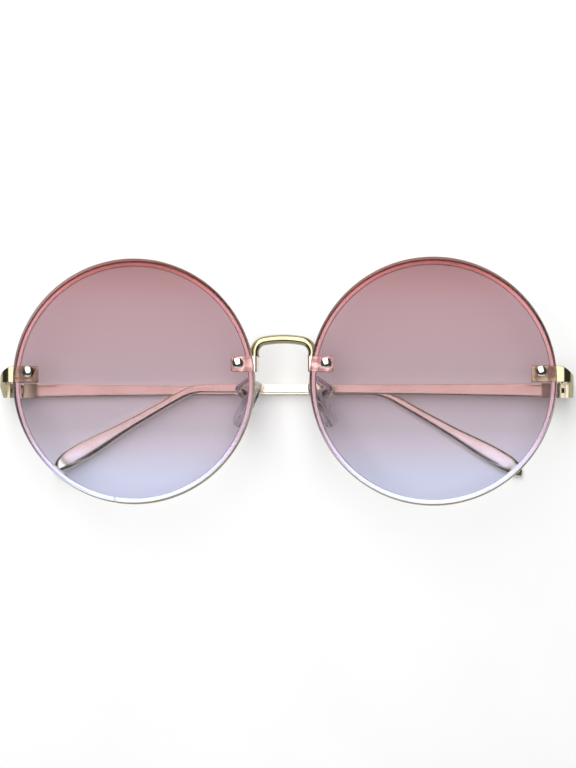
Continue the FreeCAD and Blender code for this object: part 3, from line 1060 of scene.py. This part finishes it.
@dataclass
class PadMount:
    """A nose pad with the box, screw and wire arm that hold it.

    In the pad's own frame the pad lies in the yz plane, and its stud points along +x.

    Attributes:
        center: The pad's middle in the front frame.
        frontal_angle: How far its lower end spreads outwards, in degrees.
        splay_angle: How far its back edge spreads outwards, in degrees.
        length: The pad's length.
        top_radius: The radius of its top end.
        bottom_radius: The radius of its bottom end.
        thickness: Its thickness.
        edge_round: The radius of its rounded edge.
        mount_rise: How far the stud is above the pad's middle.
        stud: The stud's width, height and reach behind the pad.
        stud_corner: The radius of the stud's corners.
        stud_root: How far the stud starts inside the pad.
        stud_tip: The length of its tapered tip.
        stud_taper: The tip's size, as a share of the stud's.
        box: The box's half width and half height.
        box_corners: The corner radii of the box's inside, mouth, lip and outside.
        box_wall: The thickness of the box's walls.
        box_front: Where the box's open end lies.
        box_floor: Where its floor lies inside.
        box_back: Where its back lies.
        arm_radius: The arm wire's radius.
        arm_root_z: The height at which the arm leaves the rim.
        arm_run: How far it runs straight back.
        arm_bow: How far it bows out behind the box.
        arm_bend: The radius of its bends.
        arm_sink: How far its ends reach into the rim and the box's back.
        arm_ease: How far its ends are eased.
        arm_steps: Points round the wire.
        arm_reference: A direction that no run of the arm follows, to set its rings square.
    """

    center: Triple = (9.9, 7.0, -6.0)
    frontal_angle: float = 27.0
    splay_angle: float = 24.0
    length: float = 13.4
    top_radius: float = 2.6
    bottom_radius: float = 3.5
    thickness: float = 2.6
    edge_round: float = 1.05
    mount_rise: float = 1.9
    stud: Triple = (1.1, 1.7, 1.75)
    stud_corner: float = 0.45
    stud_root: float = 0.05
    stud_tip: float = 0.1
    stud_taper: float = 0.85
    box: Pair = (1.15, 1.45)
    box_corners: tuple[float, float, float, float] = (0.4, 0.55, 0.9, 1.05)
    box_wall: float = 0.45
    box_front: float = 1.65
    box_floor: float = 3.2
    box_back: float = 3.7
    arm_radius: float = 0.62
    arm_root_z: float = 1.4
    arm_run: float = 2.6
    arm_bow: float = 1.2
    arm_bend: float = 0.9
    arm_sink: Pair = (0.4, 0.1)
    arm_ease: float = 0.05
    arm_steps: int = 24
    arm_reference: Triple = (0.31, 0.11, 0.94)

    def placed(self, points: Array) -> Array:
        """Carry points of the pad's own frame to the front frame: two turns, then the move."""
        spread = Matrix.Rotation(math.radians(-self.frontal_angle), 3, "Y")
        splay = Matrix.Rotation(math.radians(-self.splay_angle), 3, "Z")
        return points @ np.array(splay @ spread).T + self.center

    def outline(self, steps: int = 20) -> tuple[Array, Array, Array]:
        """The drop's outline: an arc at each end, joined by the two lines that touch both.

        Returns:
            Outline points, their outward normals and the matching points of the pad's spine, in y and z.
        """
        top = self.length / 2 - self.top_radius
        bottom = self.bottom_radius - self.length / 2
        lean = math.asin((self.bottom_radius - self.top_radius) / (top - bottom))
        over = np.linspace(lean, math.pi - lean, steps)
        under = np.linspace(math.pi - lean, 2 * math.pi + lean, steps)
        rise = np.linspace(0, 1, 12)[1:-1]
        angles = np.concatenate([
            over, np.full(len(rise), math.pi - lean), under, np.full(len(rise), lean),
        ])
        share = np.concatenate([np.zeros(steps), rise, np.ones(steps), 1 - rise])
        normals = np.stack([np.cos(angles), np.sin(angles)], axis=-1)
        spine = np.stack([np.zeros(len(share)), top + (bottom - top) * share], axis=-1)
        radius = self.top_radius + (self.bottom_radius - self.top_radius) * share
        return spine + radius[:, None] * normals, normals, spine

    def pad_shell(self) -> Shell:
        """The pad's drop with a rounded edge, and its stud.

        Rings run from the spine on one face, out over the rounded edge, to the spine on the other face.
        """
        points, normals, spine = self.outline()
        half = self.thickness / 2
        edge = np.linspace(-math.pi / 2, math.pi / 2, 15)
        inset = self.edge_round * (1 - np.cos(edge))
        depth = np.sign(edge) * (half - self.edge_round) + self.edge_round * np.sin(edge)
        around = points - inset[:, None, None] * normals
        share = np.array([0.0, 0.35, 0.7, 0.92])
        front = spine + share[:, None, None] * (around[0] - spine)
        rings = np.concatenate([front, around, front[::-1]])
        along = np.concatenate([np.full(len(share), -half), depth, np.full(len(share), half)])
        along = np.broadcast_to(along[:, None, None], (*rings.shape[:2], 1))
        shell = Shell.of(self.placed(np.concatenate([along, rings], axis=-1)))
        width, height, reach = self.stud
        section = rounded_rectangle(width / 2, height / 2, self.stud_corner)
        self.add_loops(shell, [
            (half - self.stud_root, section), (half + reach - self.stud_tip, section),
            (half + reach, section * self.stud_taper),
        ])
        return shell

    def add_loops(self, shell: Shell, loops: list[tuple[float, Array]]) -> None:
        """Add a capped run of loops about the stud's axis.

        Args:
            shell: The shell that gets them.
            loops: Places along the stud's axis, each with its loop in y and z.
        """
        rings = [
            np.column_stack([np.full(len(loop), x), loop[:, 0], loop[:, 1] + self.mount_rise])
            for x, loop in loops
        ]
        shell.grid(self.placed(np.stack(rings)), capped=True)

    def box_shell(self) -> Shell:
        """The box: one run of loops up its inside, over its rounded lip and down its outside."""
        width, height = self.box
        lip = self.box_wall / 3
        insets = self.box_wall, self.box_wall - lip, lip, 0.0
        inside, mouth, over, outside = (
            rounded_rectangle(width - inset, height - inset, corner)
            for inset, corner in zip(insets, self.box_corners)
        )
        shell = Shell()
        self.add_loops(shell, [
            (self.box_floor, inside), (self.box_front + lip, inside), (self.box_front, mouth),
            (self.box_front, over), (self.box_front + lip, outside), (self.box_back - lip, outside),
            (self.box_back, over),
        ])
        return shell

    def arm_shell(self) -> Shell:
        """The arm: a round wire along three straight runs that are joined by tangent arcs."""
        circle_radius = LAYOUT.rim_radius - LAYOUT.rim_width / 2
        root_x = LAYOUT.lens_center_x - math.sqrt(circle_radius ** 2 - self.arm_root_z ** 2)
        rim_sink, box_sink = self.arm_sink
        back, away = self.placed(np.array([
            (self.box_back - box_sink, 0, self.mount_rise),
            (self.box_back + self.arm_bow, 0, self.mount_rise),
        ]))
        path = bent_path(np.array([
            (root_x, LAYOUT.rim_depth - rim_sink, self.arm_root_z),
            (root_x, LAYOUT.rim_depth + self.arm_run, self.arm_root_z),
            away, back,
        ]), self.arm_bend)
        rings = tube(path, self.arm_radius, np.array(self.arm_reference), self.arm_steps, self.arm_ease)
        return Shell.of(rings, capped=True)

    def build(self, bench: Bench, side: Side) -> None:
        """Make one side's arm, box and pad, and dress the screw."""
        body = f"{side.word}_pad"
        bench.piece("pad_wire", "pad_arm", self.arm_shell(), Finish.STEEL, Slot.GOLD, side)
        bench.piece("pad_cup", "pad_box", self.box_shell(), Finish.STEEL, Slot.STEEL, side)
        bench.piece("pad_drop", "nose_pad", self.pad_shell(), Finish.SILICONE, Slot.PAD, side, body)
        bench.dress_node(f"{side.word}_pad_screw", Finish.NICKEL)


@dataclass
class Temple:
    """A temple: a band drawn in to its waist, a bend, and an ear part that ends in a paddle.

    Attributes:
        fold: How far each side's temple is folded in, in degrees.
        rise: How far each side's band is turned up, in degrees.
        straight: The length from the hinge to where the band and the ear part would meet.
        bend_radius: The radius of the bend.
        bend_angle: The angle of the bend, in degrees.
        ear: The ear part's length.
        paddle: The paddle's full width.
        heights: Full heights at shares of the straight length: butt, waist and bend.
        ear_shares: Places along the ear part.
        ear_widths: Full widths there, as shares of the paddle's.
        butt_round: How far the edges of the hinge end are eased.
        butt_length: The length of the hinge end that has close rings.
        tip_share: The share of the ear part, from the bend to the tip, that has close rings.
        tip_flat: How far short of the tip's end its small flat lies.
        steps: Rings along the hinge end, band, bend, ear part and tip.
        round_steps: Points round the section.
        band_power: The power of the band's section, from 1 for an ellipse down to 0 for a rectangle.
        paddle_power: The power of the ear part's section, likewise.
        tip_drop: How far the tip lies towards the paddle's lower edge, as a share of half its width.
    """

    fold: dict[Side, float] = field(default_factory=lambda: {Side.LEFT: 90.687, Side.RIGHT: 89.313})
    rise: dict[Side, float] = field(default_factory=lambda: {Side.LEFT: 0.4, Side.RIGHT: 0.0})
    straight: float = 98.0
    bend_radius: float = 14.0
    bend_angle: float = 30.0
    ear: float = 43.9
    paddle: float = 4.9
    heights: tuple[tuple[float, float], ...] = ((0.0, 3.85), (0.2, 3.2), (0.42, 2.7), (0.7, 2.4), (1.0, 2.3))
    ear_shares: tuple[float, ...] = (0.30, 0.53, 0.71, 0.81, 0.87)
    ear_widths: tuple[float, ...] = (0.50, 0.66, 0.92, 1.0, 0.97)
    butt_round: float = 0.3
    butt_length: float = 0.4
    tip_share: float = 0.14
    tip_flat: float = 0.002
    steps: tuple[int, ...] = (12, 90, 24, 60, 40)
    round_steps: int = 64
    band_power: float = 0.35
    paddle_power: float = 0.92
    tip_drop: float = 0.4

    def shell(self, side: Side) -> Shell:
        """Carry a rounded band section along the temple's middle line, then fold it in.

        The middle line is a straight run, an arc and a straight run. The section is a circle whose
        cosines and sines are raised to a power, then stretched; the power eases from the band's to the
        ear part's round the bend. Its height follows a smooth table, and past the last knot an ellipse
        that closes the tip.
        """
        bend = math.radians(self.bend_angle)
        setback = self.bend_radius * math.tan(bend / 2)
        first = self.straight - setback
        arc = self.bend_radius * bend
        last = self.ear - setback
        total = first + arc + last
        knots = np.concatenate([
            np.array([share for share, _ in self.heights]) * first, [first + arc / 2],
            first + arc - setback + np.array(self.ear_shares) * self.ear,
        ])
        values = np.concatenate([
            [height for _, height in self.heights], [self.heights[-1][1]],
            np.array(self.ear_widths) * self.paddle,
        ])
        butt_steps, band_steps, bend_steps, ear_steps, tip_steps = self.steps
        place = np.concatenate([
            np.linspace(0, 1, butt_steps)[:-1] * self.butt_length,
            np.linspace(self.butt_length, first, band_steps)[:-1],
            first + np.linspace(0, arc, bend_steps)[:-1],
            first + arc + np.linspace(0, last * (1 - self.tip_share), ear_steps)[:-1],
            total - last * self.tip_share * np.cos(np.linspace(0, math.pi / 2, tip_steps))[:-1],
            [total - self.tip_flat],
        ])
        turn = np.clip((place - first) / self.bend_radius, 0, bend)
        beyond = np.clip(place - first - arc, 0, None)
        run = np.minimum(place, first) + self.bend_radius * np.sin(turn) + beyond * math.cos(bend)
        drop = self.bend_radius * (1 - np.cos(turn)) + beyond * math.sin(bend)
        tip_start = knots[-1]
        closing = np.clip((place - tip_start) / (total - tip_start), 0, 1)
        full_height = smooth_table(place, knots, values) / 2
        half_height = full_height * np.sqrt(1 - closing ** 2)
        half_width = LAYOUT.strip_thickness / 2 * np.sqrt(1 - closing ** 4)
        butt = end_inset(place, self.butt_round)
        size = np.stack([half_width - butt, half_height - butt], axis=-1)
        power = self.band_power + (self.paddle_power - self.band_power) * np.clip((place - first) / arc, 0, 1)
        spin = circle(self.round_steps)
        section = np.sign(spin) * np.abs(spin) ** power[:, None, None] * size[:, None]
        pivot_x, pivot_y, pivot_z = LAYOUT.pivot
        path = np.column_stack([
            np.full(len(place), LAYOUT.strip_x + LAYOUT.strip_thickness / 2),
            pivot_y + LAYOUT.stop_gap / 2 + run, pivot_z - drop,
        ])
        up = np.column_stack([np.zeros(len(place)), np.sin(turn), np.cos(turn)])
        path -= up * (self.tip_drop * (full_height - half_height))[:, None]
        rings = swept(section, path, LEFTWARD, up)
        pivot = np.array([pivot_x, pivot_y, pivot_z])
        tilt = Matrix.Rotation(math.radians(self.rise[side]), 3, "X")
        swing = Matrix.Rotation(math.radians(self.fold[side]), 3, "Z")
        return Shell.of((rings - pivot) @ np.array(swing @ tilt).T + pivot, capped=True)

    def build(self, bench: Bench, side: Side) -> None:
        """Make one side's temple, and dress its hinge."""
        word = side.word
        body = f"{word}_temple"
        bench.piece("temple_band", "temple", self.shell(side), Finish.SATIN, Slot.GOLD, side, body)
        for node in ("hinge_front_leaf", "hinge_temple_leaf"):
            bench.dress_node(f"{word}_{node}", Finish.HINGE)
        bench.dress_node(f"{word}_hinge_screw", Finish.NICKEL)


@dataclass(frozen=True)
class Sheet:
    """Matt paper: dull and very slightly uneven.

    Attributes:
        name: The material's name.
        colors: The two hex colours of the uneven patches.
        speckle_mm: The size of the uneven patches.
        roughness: Its roughness.
    """

    name: str
    colors: tuple[str, str]
    speckle_mm: float = 40.0
    roughness: float = 0.6

    def material(self) -> bpy.types.Material:
        """Build the finish: one colour that varies faintly with a broad noise."""
        material, tree, shader, place = start_material(self.name)
        speckle = add_node(tree, "TexNoise", {"Vector": place, "Scale": PER_METRE_MM / self.speckle_mm})
        ramp = color_ramp(tree, speckle.outputs["Fac"], tuple(zip(NOISE_SPAN, self.colors)))
        tree.links.new(ramp, shader.inputs["Base Color"])
        shader.inputs["Roughness"].default_value = self.roughness
        return material


WHITE_SHEET = Sheet("matt_white_sheet", ("F4F4F4", "F1F1F1"))


@dataclass(frozen=True)
class Panel:
    """An evenly bright panel lamp that faces the part.

    Attributes:
        name: The lamp's name.
        place: Its middle, in metres.
        size: Its width and height, in metres.
        brightness: The brightness of its face.
    """

    name: str
    place: Triple
    size: Pair
    brightness: float

    def hang(self) -> None:
        """Hang the lamp; its power is brightness times pi times area."""
        data = bpy.data.lights.new(self.name, "AREA")
        data.shape = "RECTANGLE"
        data.size, data.size_y = self.size
        data.energy = self.brightness * math.pi * data.size * data.size_y
        lamp = bpy.data.objects.new(self.name, data)
        lamp.location = self.place
        lamp.rotation_euler = Vector(self.place).to_track_quat("Z", "Y").to_euler()
        lamp.visible_camera = False
        bpy.context.collection.objects.link(lamp)


@dataclass
class Studio:
    """A white table in a dim room, a large softbox past the tops of the lenses, a low fill and the camera.

    Attributes:
        stance: How the front is laid on the floor.
        floor_half: Half the floor's side, in metres.
        floor_drop: How far the floor lies under the part, in metres.
        panels: The softbox, and the fill on the other side.
        room_brightness: The brightness of the room round them, as it lights the part.
        wall_brightness: The brightness of the far wall past the floor.
        yaw: The camera's turn about z, in degrees.
        pitch: Its turn down, in degrees.
        distance: How far it stands from its target, in millimetres.
        target: What it looks at, in the front frame.
        pixels_per_mm: The image's scale at the target.
        clip_end: How far the camera sees, in metres.
    """

    stance: Stance
    floor_half: float = 0.6
    floor_drop: float = 0.0001
    panels: tuple[Panel, ...] = (
        Panel("softbox", (-0.10, 0.34, 0.60), (0.8, 1.3), 3.1),
        Panel("fill", (0.0, -0.6, 0.3), (1.2, 0.4), 0.8),
    )
    room_brightness: float = 0.07
    wall_brightness: float = 0.8
    yaw: float = -5.6
    pitch: float = -0.38
    distance: float = 572.5
    target: Triple = (1.54, 0.0, -0.69)
    pixels_per_mm: float = 3.8053
    clip_end: float = 10.0

    def floor(self) -> None:
        """Lay the table, a level square of white paper that isn't part of the object."""
        half = self.floor_half
        square = np.array([(-1, -1, 0), (1, -1, 0), (1, 1, 0), (-1, 1, 0)])
        corners = square * (half, half, 0) + (0.0, 0.0, -self.floor_drop)
        mesh = bpy.data.meshes.new("white_table")
        mesh.from_pydata(corners.tolist(), [], [(0, 1, 2, 3)])
        mesh.materials.append(WHITE_SHEET.material())
        sheet = bpy.data.objects.new("white_table", mesh)
        bpy.context.collection.objects.link(sheet)

    def light(self) -> None:
        """Hang the panels in an evenly dim room, whose far wall is pale to the eye."""
        world = bpy.data.worlds.new("dim_room")
        bpy.context.scene.world = world
        world.use_nodes = True
        tree = world.node_tree
        room = add_node(tree, "Background", {"Color": WHITE, "Strength": self.room_brightness})
        wall = add_node(tree, "Background", {"Color": WHITE, "Strength": self.wall_brightness})
        seen = add_node(tree, "LightPath").outputs["Is Camera Ray"]
        mixed = add_node(tree, "MixShader", {0: seen, 1: room.outputs[0], 2: wall.outputs[0]})
        tree.links.new(mixed.outputs[0], tree.nodes["World Output"].inputs["Surface"])
        for panel in self.panels:
            panel.hang()

    def camera(self) -> None:
        """Stand the camera square to the lenses, as the photograph has it."""
        yaw, pitch = math.radians(self.yaw), math.radians(self.pitch)
        level = math.cos(pitch)
        ahead = np.array([math.sin(yaw) * level, math.cos(yaw) * level, -math.sin(pitch)])
        right = np.array([math.cos(yaw), -math.sin(yaw), 0.0])
        eye = self.stance.to_row(np.array(self.target) - ahead * self.distance)
        axes = self.stance.turned(np.stack([right, np.cross(right, ahead), -ahead])).T
        data = bpy.data.cameras.new("photo_camera")
        data.lens = self.pixels_per_mm * self.distance / IMAGE_HEIGHT_PX * data.sensor_width
        data.clip_end = self.clip_end
        camera = bpy.data.objects.new("photo_camera", data)
        placed = np.eye(4)
        placed[:3, :3], placed[:3, 3] = axes, eye
        camera.matrix_world = Matrix(placed.tolist())
        bpy.context.collection.objects.link(camera)
        bpy.context.scene.camera = camera
        bpy.context.scene.view_settings.view_transform = "Standard"

    def build(self) -> None:
        """Set up the floor, the light and the camera."""
        self.floor()
        self.light()
        self.camera()


# One plated gold comes in copies of different lightness: the bridge and end pieces get a darker copy, painted
# shade, and the nasal lugs behind the lens a lighter copy, painted light.
METALS = (
    PolishedMetal(Finish.GOLD.value, "AEA78A", "A49C7E", (0.13, 0.16)),
    PolishedMetal(Finish.LIGHTER_GOLD.value, "EFE0D2", "E8D8C8", (0.11, 0.13)),
    # The rim's near-white face is a painted-light copy of the gold for where it shows through the lens; its
    # outer wall keeps the darker gold as painted shade.
    PolishedMetal(Finish.RIM.value, "FAF8F0", "F2EFE4", (0.09, 0.11), wall="AEA78A"),
    PolishedMetal(Finish.STEEL.value, "ECE8E4", "E2DDD8", (0.25, 0.27)),
    PolishedMetal(Finish.HINGE.value, "A59C88", "968C78", (0.24, 0.27)),
    PolishedMetal(Finish.SATIN.value, "F0EAD4", "E8E1C9", (0.18, 0.19)),
    PolishedMetal(Finish.NICKEL.value, "E2E0D8", "D6D3C8", (0.07, 0.10)),
)
DYED_LENS = GradientLens(Finish.LENS.value, stops=(
    (-32.0, "CAD0E9"), (-24.8, "C5C7DE"), (-16.4, "C1B7C6"), (-12.2, "B8ACB8"), (2.6, "B69EA6"),
    (17.3, "BA9BA1"), (21.5, "BA979E"), (25.7, "B68E92"), (28.1, "B0888B"), (32.0, "A57B7D"),
))


def dressed(stance: Stance) -> dict[Finish, bpy.types.Material]:
    """Make every finish.

    Args:
        stance: How the front is laid, for the direction of the lenses' dye.

    Returns:
        The material of each finish.
    """
    metals = {Finish(metal.name): metal.material() for metal in METALS}
    return metals | {
        Finish.LENS: DYED_LENS.material(stance),
        Finish.SILICONE: ClearSilicone(Finish.SILICONE.value).material(),
    }


def main() -> None:
    """Build every sub-assembly in order, then the studio."""
    logging.basicConfig(level=logging.INFO, format="%(message)s")
    hinges = {joint["name"]: joint for joint in frame["record"]["behaviour"]["joints"]}
    left, right = hinges["left_temple_fold"], hinges["right_temple_fold"]
    stance = Stance.from_hinges(left, right, np.array(LAYOUT.pivot))
    bench = Bench(stance, dressed(stance))
    Bridge().build(bench)
    rivets = Rivet("nasal", 11.65, 4.8, 0.85), Rivet("temporal", 67.75, 2.6, 0.95)
    for side in Side:
        for part in (Lens(), Rim(), NasalLug(), EndPiece(), *rivets, PadMount(), Temple()):
            part.build(bench, side)
    Studio(stance).build()


if __name__ == "__main__":
    main()
